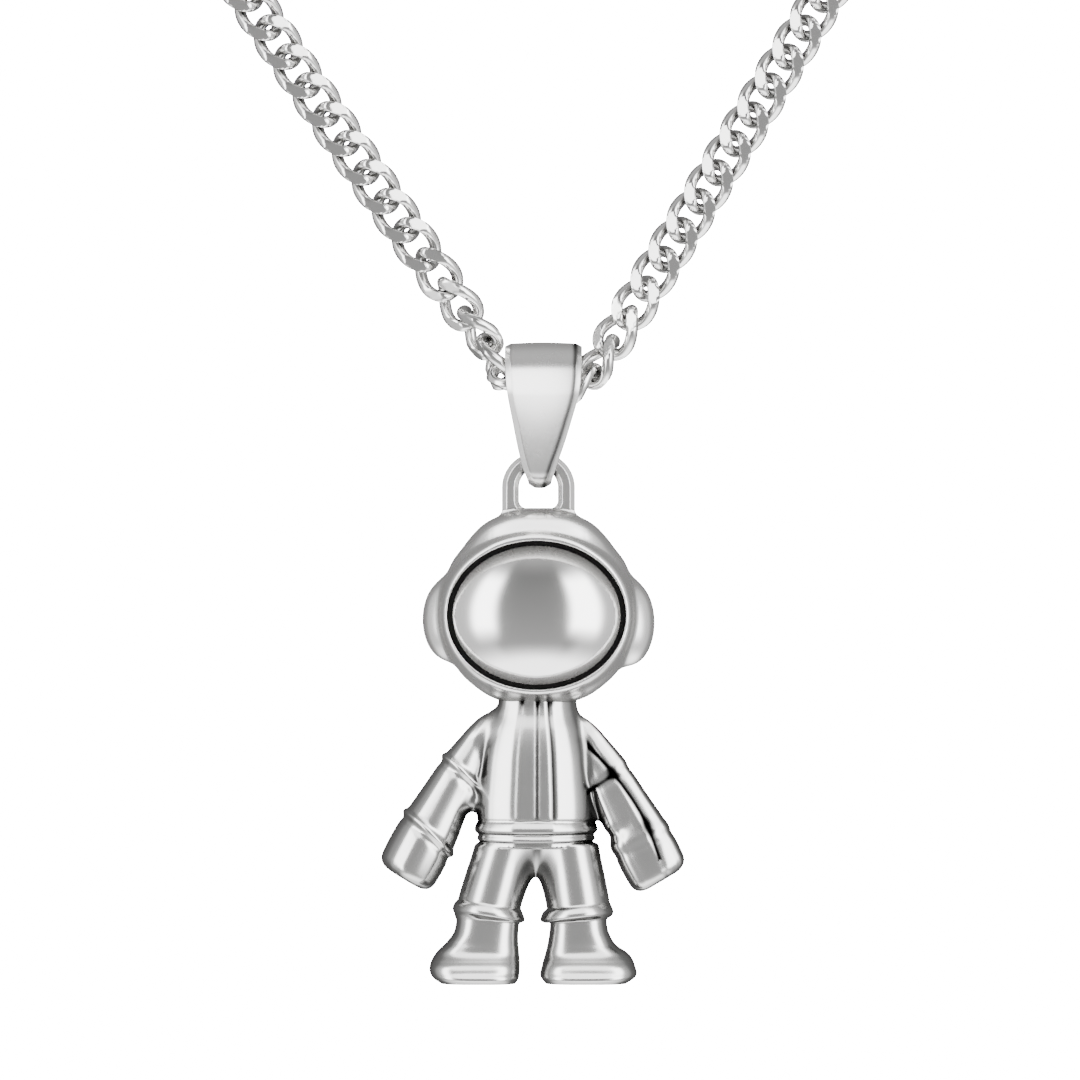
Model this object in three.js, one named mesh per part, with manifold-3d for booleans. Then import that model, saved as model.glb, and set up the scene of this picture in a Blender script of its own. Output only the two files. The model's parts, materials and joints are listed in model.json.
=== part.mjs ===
// Astronaut pendant on a curb chain: a cast steel figure with a domed visor hangs by its suspension
// loop in a tapered bail, and the bail rides on a chain whose two ends are held up and apart.
// Millimetres, +Z up, the figure faces -Y. Heights below are measured up from the soles of the boots.
// The last lines lower everything, so that the origin lies midway between the two held chain ends.

import * as THREE from 'three';
import { mergeVertices } from 'three/addons/utils/BufferGeometryUtils.js';
import Module from 'manifold-3d';

const wasm = await Module();
wasm.setup();

// ---------------------------------------------------------------- driving dimensions

const GAP = 0.04; // between soldered or seated pieces

const LINK = {
  halfLength: 1.58, // wire centre line, along the chain
  halfWidth: 1.1, // wire centre line, across the chain
  endTwist: THREE.MathUtils.degToRad(50),
  squareness: 2.4, // superellipse exponent of the loop, 2 is an ellipse
  wire: 0.8,
  thickness: 1.56, // between the two flats that are cut on the chain
};

const CHAIN_TOP = 64.62; // height of the first interlock on each side
const LINK_DROP = 1.844; // height lost from one interlock to the next
const STRAND_STEPS = 13;
const LEFT_STRAND = { topX: -19.75, firstStep: 1.21, lastStep: 1.32 };
const RIGHT_STRAND = { topX: 19.14, firstStep: -1.105, lastStep: -1.155 };
const BAIL_ROUTE = [[-2.53, 38.75], [-0.67, 37.58], [1.53, 37.58], [3.22, 38.75]];
// The chain turns half over as it passes through the bail: each link's roll in degrees, starting at
// the eleventh link on the left. Links above it lie flat, and those after the last are turned right over.
const FIRST_ROLLED = 10;
const ROLLS = [-21, -39, -60, -81, -92, -97, -110, -122, -145, -165];
const TURNED_OVER = -180;

const BAIL = {
  outer: { topZ: 38.12, topRadius: 2.75, bottomZ: 33.06, bottomRadius: 1.5 },
  inner: { topZ: 38.12, topRadius: 2.05, bottomZ: 33.2, bottomRadius: 0.92 },
  topHalfWidth: 2.46,
  bottomHalfWidth: 0.6,
  topX: 0.22,
  bottomX: -0.02,
  corner: 0.6, // rounding of the two top corners
  // handles of the curved flanks: half width and height above the tip, and height below the corner
  flank: { lowerHalfWidth: 1.75, lowerHeight: 3.6, upperHeight: 2.35 },
};

const LOOP = {
  x: -0.1,
  footZ: 29.2,
  springZ: 31.6, // where the straight legs turn into the arch
  outerHalfWidth: 2.33,
  archRise: 2.28,
  holeHalfWidth: 1.24,
  holeRise: 1.26,
  holeFloorZ: 30.29,
  holeCorner: 0.45,
  depth: 1.2,
  bevel: 0.2,
};

const HELMET = {
  x: -0.1,
  flatness: 0.62, // depth over width
  squareness: 2.5, // superellipse exponent of a level cut
  // half width and height, from the chin up to the crown
  outline: [[0, 17.75], [2.65, 17.9], [3.4, 18.35], [4.05, 18.9], [4.87, 19.65], [5.42, 20.4], [6, 22],
    [6.15, 24], [5.97, 25.7], [5.44, 26.9], [4.87, 27.76], [4.23, 28.58], [3.5, 29.31], [2.75, 29.88],
    [1.6, 30.15], [0, 30.22]],
};
const EAR_PODS = [
  { x: -5.9, z: 23.2, reach: 1.6, halfHeight: 2.6 },
  { x: 5.72, z: 23, reach: 1.6, halfHeight: 2.72 },
];
const EAR_POD_HALF_DEPTH = 2.2;

const VISOR = {
  x: -0.22,
  z: 23.48,
  pocket: { halfWidth: 5.7, halfHeight: 4.74 },
  rim: { halfWidth: 5.82, halfHeight: 4.88, radius: 0.22 },
  dome: { halfWidth: 5.27, halfHeight: 4.32, wall: 1, edgeAngle: THREE.MathUtils.degToRad(48) },
  ringThickness: 0.4,
  pocketFloorY: -0.5,
};

const TORSO = {
  x: -0.15,
  flatness: 0.64,
  // half width and height, from inside the hips up to inside the neck
  outline: [[0, 6.7], [2.2, 6.9], [3.3, 7.7], [3.75, 9.1], [3.87, 10.3], [3.85, 11.5], [3.7, 13],
    [3.45, 14.8], [3.05, 16.2], [2.65, 17.2], [2.5, 18.2], [0, 18.4]],
};
const BELT_RIDGES = [
  { z: 9.92, halfWidth: 3.78, radius: 0.33 },
  { z: 9.25, halfWidth: 3.72, radius: 0.2 },
];

const ARM = {
  flatness: 0.85,
  // half width and distance from the shoulder centre, from above the shoulder to the mitten's end
  outline: [[0, -1.35], [0.7, -1.1], [1.1, -0.5], [1.27, 0.4], [1.5, 2.4], [1.85, 7.1], [1.98, 8.6],
    [1.72, 9.7], [1.15, 10.2], [0, 10.45]],
  bandRadius: 0.2,
};
const ARMS = [
  {
    shoulder: [-3.84, 15.9],
    toward: [-0.467, -0.884],
    bands: [{ at: 2.55, halfWidth: 1.42, tilt: -0.2 }, { at: 6.95, halfWidth: 1.78, tilt: -0.28 }],
  },
  {
    shoulder: [3, 15.83],
    toward: [0.457, -0.889],
    bands: [{ at: 2.7, halfWidth: 1.44, tilt: 0.1 }, { at: 7.3, halfWidth: 1.82, tilt: 0.06 }],
  },
];

const LEG = {
  flatness: 0.95,
  outline: [[0, -1.6], [1.5, -1.2], [1.85, 0], [2.02, 3.2], [2.08, 4.7], [1.6, 5.1], [0, 5.2]],
};
const LEGS = [
  { hip: [-2.1, 9.25], toward: [-0.264, -0.965], cuff: { x: -3.27, z: 4.6, halfWidth: 2.1, tilt: 0.17 } },
  { hip: [1.78, 9.25], toward: [0.155, -0.988], cuff: { x: 2.36, z: 4.47, halfWidth: 2.2, tilt: -0.09 } },
];
const CUFF_RADIUS = 0.3;

// Each boot's outline seen from the front: the ankle's two sides, the inner edge of the sole and the toe.
const BOOTS = [
  { side: -1, innerAnkle: 1.5, outerAnkle: 5.4, innerSole: 1.3, toe: 7.02 },
  { side: 1, innerAnkle: 0.68, outerAnkle: 4.28, innerSole: 0.1, toe: 6.1 },
];
const BOOT = {
  topZ: 4.9,
  ankleZ: 3.3,
  toeZ: 1.1,
  heelY: 1.95,
  shinY: -1.75,
  toeY: -3.5,
  squareness: 3.6,
  toeRound: 1.2,
  innerRound: 0.8,
  belowGround: 0.2, // cut away again, to leave a flat sole with a rounded edge
  toeCap: { y: -1.75, halfDepth: 1.85, halfHeight: 1.75, inset: 0.25 },
};

const JUMP_RING = { radius: 1.75, wire: 0.8 };
const END_RING = { radius: 2.2, wire: 0.9 };
const RING_REACH = 0.86; // from a link's end wire to the centre line of the ring's wire around it
const RING_TURN = THREE.MathUtils.degToRad(50);

// Flat shapes of the clasp, drawn from the centre of its tail eye with X towards its nose.
const CLASP = {
  thickness: 2,
  bevel: 0.3,
  eye: { radius: 0.95, wall: 0.8, reach: 0.1 }, // reach: from the jump ring's wire to the eye's centre
  bow: { x: 8.3, radius: 2.9 },
  neck: [2.5, 4.3], // where the tail begins to widen, and where it has become the bow
  hollow: { x: 6.9, halfLength: 2.55, halfWidth: 1.45 },
  gate: { from: 4.75, to: 9.5 }, // the side of the hollow that the lever closes
  slot: { from: 2.4, inner: -0.2, width: 1.3 },
  pivot: [3.4, -1.35],
  pinRadius: 0.33,
  lever: { width: 1.2, hub: 0.8, inner: -1.3, outer: -2.35 },
  leverTab: { from: 4.45, to: 5.25, out: -3.3 },
  leverTip: { from: 6.25, to: 9.38 },
  spring: { from: 2.5, to: 4.7, inner: -0.28, thickness: 0.16, width: 1.1 },
};
const RUNNING_GAP = 0.05;

// ---------------------------------------------------------------- materials

const steel = (roughness) => new THREE.MeshStandardMaterial({ color: 0xc9c8c5, metalness: 1, roughness });
const finishes = {
  chain: () => steel(0.15),
  casting: () => steel(0.25),
  dome: () => steel(0.08),
  enamel: () => new THREE.MeshStandardMaterial({ color: 0x111111, metalness: 0, roughness: 0.4 }),
};

// ---------------------------------------------------------------- solids

// Closed, merged copy of a geometry, without the triangles that collapse at a lathe's poles.
function solid(geometry) {
  const bare = geometry.clone();
  bare.deleteAttribute('normal');
  bare.deleteAttribute('uv');
  const merged = mergeVertices(bare, 1e-4);
  const corners = merged.index.array;
  const kept = [];
  for (let i = 0; i < corners.length; i += 3) {
    const [a, b, c] = corners.slice(i, i + 3);
    if (a !== b && b !== c && c !== a) kept.push(a, b, c);
  }
  return new wasm.Manifold(new wasm.Mesh({
    numProp: 3,
    vertProperties: new Float32Array(merged.attributes.position.array),
    triVerts: new Uint32Array(kept),
  }));
}

function geometryOf(manifold) {
  const mesh = manifold.getMesh();
  const geometry = new THREE.BufferGeometry();
  geometry.setAttribute('position', new THREE.BufferAttribute(mesh.vertProperties, 3));
  geometry.setIndex(new THREE.BufferAttribute(mesh.triVerts, 1));
  geometry.computeVertexNormals();
  return geometry;
}

const joined = (geometries) => geometries.map(solid).reduce((whole, piece) => whole.add(piece));

// A solid of revolution about Z from [radius, height] pairs that run upwards from pole to pole.
function turned(outline, segments = 16) {
  const points = outline.map(([radius, height]) => new THREE.Vector2(radius, height));
  return new THREE.LatheGeometry(points, segments).rotateX(Math.PI / 2);
}

// A closed ring of round wire around an ellipse in the XY plane.
class EllipseLoop extends THREE.Curve {
  constructor(halfWidth, halfDepth, lift = () => 0) {
    super();
    Object.assign(this, { halfWidth, halfDepth, lift });
  }

  getPoint(t, target = new THREE.Vector3()) {
    const x = this.halfWidth * Math.cos(2 * Math.PI * t);
    const y = this.halfDepth * Math.sin(2 * Math.PI * t);
    return target.set(x, y, this.lift(x, y));
  }
}

// Bends a cosine or sine, so that a circle drawn with it becomes a superellipse.
const softened = (value, squareness) => Math.sign(value) * Math.abs(value) ** (2 / squareness);

// How far a point lies from the middle, measured so that a superellipse is a circle.
const superellipseReach = (x, y, squareness) =>
  (Math.abs(x) ** squareness + Math.abs(y) ** squareness) ** (1 / squareness);

const wireLoop = (curve, wire, steps = 18, sides = 6) =>
  new THREE.TubeGeometry(curve, steps, wire / 2, sides, true);

// A ridge that runs round a limb or the waist, tilted in the front view.
function ridge({ x, z, halfWidth, halfDepth, radius, tilt = 0, steps = 16 }) {
  return wireLoop(new EllipseLoop(halfWidth, halfDepth), 2 * radius, steps, 4)
    .rotateY(tilt)
    .translate(x, 0, z);
}

// Swings a limb that was turned along Z, so that it runs from a joint in the direction given.
function limb(outline, flatness, [x, z], [towardX, towardZ]) {
  const downwards = outline.map(([radius, distance]) => [radius, -distance]).reverse();
  return turned(downwards, 16)
    .scale(1, flatness, 1)
    .rotateY(-Math.atan2(towardX, -towardZ))
    .translate(x, 0, z);
}

// Turns a shape drawn in the XZ plane and extruded between two depths into a solid, front at -Y.
function frontExtrusion(shape, frontY, backY, bevel = 0, curveSegments = 4) {
  const depth = backY - frontY - 2 * bevel;
  const options = { depth, curveSegments, bevelEnabled: bevel > 0, bevelThickness: bevel,
    bevelSize: bevel, bevelOffset: -bevel, bevelSegments: 1 };
  return new THREE.ExtrudeGeometry(shape, options).rotateX(Math.PI / 2).translate(0, backY - bevel, 0);
}

// Extrudes a shape drawn in the YZ plane both ways along X.
function sideExtrusion(shape, halfWidth, curveSegments = 7) {
  return new THREE.ExtrudeGeometry(shape, { depth: 2 * halfWidth, curveSegments, bevelEnabled: false })
    .rotateX(Math.PI / 2)
    .rotateZ(Math.PI / 2)
    .translate(-halfWidth, 0, 0);
}

function ellipseShape(halfWidth, halfHeight) {
  return new THREE.Shape().absellipse(0, 0, halfWidth, halfHeight, 0, 2 * Math.PI, false, 0);
}

// ---------------------------------------------------------------- chain

// The centre line of a curb link: a rounded oval, twisted one way at one end and back at the other.
class CurbLoop extends THREE.Curve {
  getPoint(t, target = new THREE.Vector3()) {
    const along = softened(Math.cos(2 * Math.PI * t), LINK.squareness);
    const across = LINK.halfWidth * softened(Math.sin(2 * Math.PI * t), LINK.squareness);
    const twist = LINK.endTwist * along;
    return target.set(LINK.halfLength * along, across * Math.cos(twist), -across * Math.sin(twist));
  }
}

function curbLink() {
  const geometry = wireLoop(new CurbLoop(), LINK.wire, 18);
  const position = geometry.attributes.position;
  const limit = LINK.thickness / 2;
  for (let i = 0; i < position.count; i += 1) {
    position.setZ(i, THREE.MathUtils.clamp(position.getZ(i), -limit, limit));
  }
  return geometry;
}

// The interlocks of a strand, from its held end down to the bail.
function strandInterlocks({ topX, firstStep, lastStep }) {
  const points = [new THREE.Vector3(topX, 0, CHAIN_TOP)];
  for (let step = 0; step < STRAND_STEPS; step += 1) {
    const sideways = THREE.MathUtils.lerp(firstStep, lastStep, step / (STRAND_STEPS - 1));
    points.push(points.at(-1).clone().add(new THREE.Vector3(sideways, 0, -LINK_DROP)));
  }
  return points;
}

// Axes of a link between two interlocks: along the chain, across it, and out of its flat face.
function linkAxes(start, end, roll) {
  const along = end.clone().sub(start).normalize();
  const facing = new THREE.Vector3(0, -1, 0).applyAxisAngle(along, -roll);
  return new THREE.Matrix4().makeBasis(along, facing.clone().cross(along), facing);
}

function rollOf(index) {
  if (index < FIRST_ROLLED) return 0;
  return THREE.MathUtils.degToRad(ROLLS[index - FIRST_ROLLED] ?? TURNED_OVER);
}

const two = (number) => String(number).padStart(2, '0');

function linkName(index, leftCount, count) {
  if (index < leftCount) return `left_link_${two(index + 1)}`;
  if (index >= count - leftCount) return `right_link_${two(count - index)}`;
  return `bail_link_${index - leftCount + 1}`;
}

function chainLinks(interlocks) {
  const geometry = curbLink();
  const count = interlocks.length - 1;
  return Array.from({ length: count }, (_, index) => {
    const [start, end] = interlocks.slice(index, index + 2);
    const link = new THREE.Mesh(geometry, finishes.chain());
    link.name = linkName(index, STRAND_STEPS + 1, count);
    link.quaternion.setFromRotationMatrix(linkAxes(start, end, rollOf(index)));
    link.position.addVectors(start, end).multiplyScalar(0.5);
    return link;
  });
}

// ---------------------------------------------------------------- bail

// Two circles, one above the other, and the straight flanks between them.
function teardrop({ topZ, topRadius, bottomZ, bottomRadius }, shape) {
  const slope = Math.asin((topRadius - bottomRadius) / (topZ - bottomZ));
  shape.absarc(0, topZ, topRadius, -slope, Math.PI + slope, false);
  shape.absarc(0, bottomZ, bottomRadius, Math.PI + slope, 2 * Math.PI - slope, false);
  return shape;
}

function bailOutline() {
  const { topHalfWidth: wide, bottomHalfWidth: narrow, topX, bottomX, corner, flank } = BAIL;
  const top = BAIL.outer.topZ + BAIL.outer.topRadius;
  const bottom = BAIL.outer.bottomZ - BAIL.outer.bottomRadius;
  const low = bottom + flank.lowerHeight;
  const high = top - corner - flank.upperHeight;
  const shape = new THREE.Shape();
  shape.moveTo(bottomX + narrow, bottom - GAP);
  shape.bezierCurveTo(bottomX + flank.lowerHalfWidth, low, topX + wide, high, topX + wide, top - corner);
  shape.quadraticCurveTo(topX + wide, top + GAP, topX + wide - corner, top + GAP);
  shape.lineTo(topX - wide + corner, top + GAP);
  shape.quadraticCurveTo(topX - wide, top + GAP, topX - wide, top - corner);
  shape.bezierCurveTo(topX - wide, high, bottomX - flank.lowerHalfWidth, low,
    bottomX - narrow, bottom - GAP);
  return shape;
}

function bail() {
  const band = teardrop(BAIL.outer, new THREE.Shape());
  band.holes.push(teardrop(BAIL.inner, new THREE.Path()));
  const closedBand = sideExtrusion(band, 2 * BAIL.topHalfWidth);
  const cutter = frontExtrusion(bailOutline(), -5, 5);
  return geometryOf(solid(closedBand).intersect(solid(cutter)));
}

// ---------------------------------------------------------------- suspension loop

function loopGeometry(grow = 0) {
  const outer = LOOP.outerHalfWidth + grow;
  const hole = LOOP.holeHalfWidth - grow;
  const floor = LOOP.holeFloorZ + grow;
  const shape = new THREE.Shape();
  shape.moveTo(outer, LOOP.footZ - grow);
  shape.lineTo(outer, LOOP.springZ);
  shape.absellipse(0, LOOP.springZ, outer, LOOP.archRise + grow, 0, Math.PI, false, 0);
  shape.lineTo(-outer, LOOP.footZ - grow);
  const opening = new THREE.Path();
  opening.moveTo(hole, floor + LOOP.holeCorner);
  opening.lineTo(hole, LOOP.springZ);
  opening.absellipse(0, LOOP.springZ, hole, LOOP.holeRise - grow, 0, Math.PI, false, 0);
  opening.lineTo(-hole, floor + LOOP.holeCorner);
  opening.quadraticCurveTo(-hole, floor, LOOP.holeCorner - hole, floor);
  opening.lineTo(hole - LOOP.holeCorner, floor);
  opening.quadraticCurveTo(hole, floor, hole, floor + LOOP.holeCorner);
  shape.holes.push(opening);
  const half = LOOP.depth / 2 + grow;
  return frontExtrusion(shape, -half, half, LOOP.bevel).translate(LOOP.x, 0, 0);
}

// ---------------------------------------------------------------- helmet and visor

// Half the helmet's width at a height.
function helmetHalfWidth(z) {
  const { outline } = HELMET;
  const above = Math.max(1, outline.findIndex(([, height]) => height > z));
  const [[lowWidth, low], [highWidth, high]] = outline.slice(above - 1, above + 1);
  return THREE.MathUtils.lerp(lowWidth, highWidth, (z - low) / (high - low));
}

function helmetShell() {
  const geometry = turned(HELMET.outline, 24);
  const position = geometry.attributes.position;
  for (let i = 0; i < position.count; i += 1) {
    const [x, y] = [position.getX(i), position.getY(i)];
    const swell = Math.hypot(x, y) / (superellipseReach(x, y, HELMET.squareness) || 1);
    position.setXY(i, x * swell, y * swell);
  }
  return geometry.scale(1, HELMET.flatness, 1).translate(HELMET.x, 0, 0);
}

// The helmet's outside a little enlarged, to leave a gap for what is soldered to it.
function helmetClearance() {
  const [, bottom] = HELMET.outline[0];
  const [, top] = HELMET.outline.at(-1);
  const middle = (top + bottom) / 2;
  const grown = 1 + 2 * GAP / (top - bottom);
  return helmetShell().translate(0, 0, -middle).scale(grown, grown, grown).translate(0, 0, middle);
}

// Depth of the helmet's front surface, for a point given from the visor's centre.
function helmetFront(fromX, fromZ) {
  const n = HELMET.squareness;
  const x = Math.abs(VISOR.x + fromX - HELMET.x);
  const room = Math.max(0, helmetHalfWidth(VISOR.z + fromZ) ** n - x ** n);
  return -HELMET.flatness * room ** (1 / n);
}

function visorRim() {
  const { halfWidth, halfHeight, radius } = VISOR.rim;
  const curve = new EllipseLoop(halfWidth, halfHeight, (x, z) => -helmetFront(x, z));
  return wireLoop(curve, 2 * radius, 32, 5).rotateX(Math.PI / 2).translate(VISOR.x, 0, VISOR.z);
}

function earPod({ x, z, reach, halfHeight }) {
  return new THREE.SphereGeometry(1, 12, 10)
    .scale(reach, EAR_POD_HALF_DEPTH, halfHeight)
    .translate(x, 0, z);
}

function helmet() {
  const { pocket, pocketFloorY } = VISOR;
  const cutter = frontExtrusion(ellipseShape(pocket.halfWidth, pocket.halfHeight), -9, pocketFloorY, 0, 16)
    .translate(VISOR.x, 0, VISOR.z);
  const casting = joined([helmetShell(), visorRim(), ...EAR_PODS.map(earPod)]);
  return geometryOf(casting.subtract(solid(cutter)).subtract(solid(loopGeometry(GAP))));
}

function visorSeatRing() {
  const shape = ellipseShape(VISOR.pocket.halfWidth - GAP, VISOR.pocket.halfHeight - GAP);
  shape.holes.push(ellipseShape(VISOR.dome.halfWidth + GAP, VISOR.dome.halfHeight + GAP));
  const backY = VISOR.pocketFloorY - GAP;
  return frontExtrusion(shape, backY - VISOR.ringThickness, backY, 0, 16)
    .translate(VISOR.x, 0, VISOR.z);
}

// A shallow cap of a sphere on a short wall, squashed to the pocket's ellipse.
function visorDome(rings = 6) {
  const { halfWidth, halfHeight, wall, edgeAngle } = VISOR.dome;
  const sphere = halfWidth / Math.sin(edgeAngle);
  const outline = [[0, 0], [halfWidth, 0]];
  for (let ring = 0; ring <= rings; ring += 1) {
    const angle = edgeAngle * (1 - ring / rings);
    outline.push([sphere * Math.sin(angle), wall + sphere * (Math.cos(angle) - Math.cos(edgeAngle))]);
  }
  return turned(outline, 28)
    .scale(1, halfHeight / halfWidth, 1)
    .rotateX(Math.PI / 2)
    .translate(VISOR.x, VISOR.pocketFloorY - GAP, VISOR.z);
}

// ---------------------------------------------------------------- suit

function torso() {
  return turned(TORSO.outline, 20).scale(1, TORSO.flatness, 1).translate(TORSO.x, 0, 0);
}

function beltRidge({ z, halfWidth, radius }) {
  return ridge({ x: TORSO.x, z, halfWidth, halfDepth: halfWidth * TORSO.flatness, radius, steps: 20 });
}

function arm({ shoulder, toward, bands }) {
  const sleeve = limb(ARM.outline, ARM.flatness, shoulder, toward);
  const lean = -Math.atan2(toward[0], -toward[1]);
  const ridges = bands.map(({ at, halfWidth, tilt }) => ridge({
    x: shoulder[0] + at * toward[0],
    z: shoulder[1] + at * toward[1],
    halfWidth,
    halfDepth: halfWidth * ARM.flatness,
    radius: ARM.bandRadius,
    tilt: lean - tilt,
  }));
  return [sleeve, ...ridges];
}

function leg({ hip, toward, cuff }) {
  const halfDepth = cuff.halfWidth * LEG.flatness;
  return [
    limb(LEG.outline, LEG.flatness, hip, toward),
    ridge({ ...cuff, halfDepth, radius: CUFF_RADIUS }),
  ];
}

function bootOutline({ side, innerAnkle, outerAnkle, innerSole, toe }) {
  const { topZ, ankleZ, toeZ, toeRound, innerRound, belowGround } = BOOT;
  const shape = new THREE.Shape();
  const at = (x, z) => [side * x, z];
  shape.moveTo(...at(innerAnkle, topZ));
  shape.lineTo(...at(outerAnkle, topZ));
  shape.lineTo(...at(outerAnkle, ankleZ));
  shape.quadraticCurveTo(...at(toe, toeZ + toeRound), ...at(toe, toeZ));
  shape.quadraticCurveTo(...at(toe, -belowGround), ...at(toe - toeRound, -belowGround));
  shape.lineTo(...at(innerSole + innerRound, -belowGround));
  shape.quadraticCurveTo(...at(innerSole, -belowGround), ...at(innerSole, toeZ));
  return shape;
}

function bootSideOutline() {
  const { topZ, ankleZ, toeZ, heelY, shinY, toeY, toeRound, innerRound, belowGround } = BOOT;
  const shape = new THREE.Shape();
  shape.moveTo(heelY, topZ);
  shape.lineTo(shinY, topZ);
  shape.lineTo(shinY, ankleZ);
  shape.quadraticCurveTo(toeY, toeZ + toeRound, toeY, toeZ);
  shape.quadraticCurveTo(toeY, -belowGround, toeY + innerRound, -belowGround);
  shape.lineTo(heelY - innerRound, -belowGround);
  shape.quadraticCurveTo(heelY, -belowGround, heelY, toeZ);
  return shape;
}

// A boot's outline seen from above: a rounded foot, from [x, y] pairs round a superellipse.
function bootPlan({ side, innerSole, toe }) {
  const centreX = side * (toe + innerSole) / 2;
  const centreY = (BOOT.heelY + BOOT.toeY) / 2;
  const points = Array.from({ length: 20 }, (_, corner) => {
    const angle = 2 * Math.PI * corner / 20;
    return new THREE.Vector2(
      centreX + (toe - innerSole) / 2 * softened(Math.cos(angle), BOOT.squareness),
      centreY + (BOOT.heelY - BOOT.toeY) / 2 * softened(Math.sin(angle), BOOT.squareness),
    );
  });
  return new THREE.ExtrudeGeometry(new THREE.Shape(points), { depth: 8, bevelEnabled: false })
    .translate(0, 0, -1);
}

function boot(outline) {
  const { toeCap } = BOOT;
  const front = frontExtrusion(bootOutline(outline), -5, 5);
  const side = sideExtrusion(bootSideOutline(), 10, 3);
  const halfWidth = (outline.toe - outline.innerSole) / 2 - toeCap.inset;
  const cap = new THREE.SphereGeometry(1, 10, 7)
    .scale(halfWidth, toeCap.halfDepth, toeCap.halfHeight)
    .translate(outline.side * (outline.toe + outline.innerSole) / 2, toeCap.y, BOOT.toeZ - 0.2);
  const foot = solid(front).intersect(solid(side)).intersect(solid(bootPlan(outline)));
  return foot.add(solid(cap));
}

function suit() {
  const pieces = [torso(), ...BELT_RIDGES.map(beltRidge), ...ARMS.flatMap(arm), ...LEGS.flatMap(leg)];
  const body = BOOTS.map(boot).reduce((whole, piece) => whole.add(piece), joined(pieces));
  const ground = new THREE.BoxGeometry(30, 30, 5).translate(0, 0, -2.5);
  return geometryOf(body.subtract(solid(ground)).subtract(solid(helmetClearance())));
}

// ---------------------------------------------------------------- chain ends

// How a ring hangs round the end wire of a strand's outermost link: X points up and out along the
// strand, Z out of the ring's plane. The turn about the strand lets the twisted end wire pass through.
function ringPlacement(ring, [end, next]) {
  const outwards = end.clone().sub(next).normalize();
  const centre = end.clone().add(next).multiplyScalar(0.5)
    .addScaledVector(outwards, LINK.halfLength - RING_REACH + ring.radius);
  return linkAxes(next, end, 0)
    .multiply(new THREE.Matrix4().makeRotationX(Math.PI / 2 - RING_TURN))
    .setPosition(centre);
}

function ringGeometry({ radius, wire }) {
  return wireLoop(new EllipseLoop(radius, radius), wire, 20, 7);
}

// Extrudes a shape in its own plane, half to each side.
function plate(shape, thickness, bevel = 0) {
  const options = { depth: thickness - 2 * bevel, curveSegments: 8, bevelEnabled: bevel > 0,
    bevelThickness: bevel, bevelSize: bevel, bevelOffset: -bevel, bevelSegments: 1 };
  return new THREE.ExtrudeGeometry(shape, options).translate(0, 0, bevel - thickness / 2);
}

function block(fromX, toX, fromY, toY, thickness) {
  return new THREE.BoxGeometry(toX - fromX, toY - fromY, thickness)
    .translate((fromX + toX) / 2, (fromY + toY) / 2, 0);
}

function pivotPin(radius, length) {
  return new THREE.CylinderGeometry(radius, radius, length, 12)
    .rotateX(Math.PI / 2)
    .translate(...CLASP.pivot, 0);
}

function claspBody() {
  const { eye, bow, neck, hollow, gate, slot, leverTab } = CLASP;
  const tail = eye.radius + eye.wall;
  const shape = new THREE.Shape();
  shape.moveTo(0, -tail);
  shape.bezierCurveTo(neck[0], -tail, neck[1], -bow.radius, bow.x, -bow.radius);
  shape.absarc(bow.x, 0, bow.radius, -Math.PI / 2, Math.PI / 2, false);
  shape.bezierCurveTo(neck[1], bow.radius, neck[0], tail, 0, tail);
  shape.absarc(0, 0, tail, Math.PI / 2, 1.5 * Math.PI, false);
  const tall = 2 * CLASP.thickness;
  const cutters = [
    new THREE.CylinderGeometry(eye.radius, eye.radius, tall, 20).rotateX(Math.PI / 2),
    new THREE.CylinderGeometry(1, 1, tall, 24)
      .rotateX(Math.PI / 2)
      .scale(hollow.halfLength, hollow.halfWidth, 1)
      .translate(hollow.x, 0, 0),
    block(gate.from, gate.to, leverTab.out, 0, tall),
    block(slot.from, gate.from + RUNNING_GAP, leverTab.out, slot.inner, slot.width),
    pivotPin(CLASP.pinRadius + RUNNING_GAP, tall),
  ];
  return geometryOf(solid(plate(shape, CLASP.thickness, CLASP.bevel)).subtract(joined(cutters)));
}

function claspLever() {
  const { lever, leverTab, leverTip, gate, pivot, pinRadius } = CLASP;
  const [x, y] = pivot;
  const shape = new THREE.Shape();
  shape.absarc(x, y, lever.hub, Math.PI / 3, 1.5 * Math.PI, false);
  shape.lineTo(leverTab.from, leverTab.out);
  shape.lineTo(leverTab.to, leverTab.out);
  shape.quadraticCurveTo(leverTab.to, lever.outer, leverTip.from, lever.outer);
  shape.lineTo(leverTip.to, lever.outer);
  shape.lineTo(leverTip.to, lever.inner);
  shape.lineTo(gate.from, lever.inner);
  const bore = pivotPin(pinRadius + RUNNING_GAP, 2 * lever.width);
  return geometryOf(solid(plate(shape, lever.width)).subtract(solid(bore)));
}

function claspSpring() {
  const { from, to, inner, thickness, width } = CLASP.spring;
  return block(from, to, inner - thickness, inner, width);
}

// The clasp hangs in the left jump ring, its flat sides square to the ring.
function claspPlacement(ringMatrix) {
  return ringMatrix.clone()
    .multiply(new THREE.Matrix4().makeRotationX(-Math.PI / 2))
    .multiply(new THREE.Matrix4().makeTranslation(JUMP_RING.radius + CLASP.eye.reach, 0, 0));
}

// ---------------------------------------------------------------- assembly

const leftInterlocks = strandInterlocks(LEFT_STRAND);
const rightInterlocks = strandInterlocks(RIGHT_STRAND);
const bailInterlocks = BAIL_ROUTE.map(([x, z]) => new THREE.Vector3(x, 0, z));
const interlocks = [...leftInterlocks, ...bailInterlocks, ...rightInterlocks.slice().reverse()];

const leftRing = ringPlacement(JUMP_RING, leftInterlocks);
const rightRing = ringPlacement(END_RING, rightInterlocks);
const clasp = claspPlacement(leftRing);

const pendant = new THREE.Group();
pendant.position.z = -CHAIN_TOP;

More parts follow.
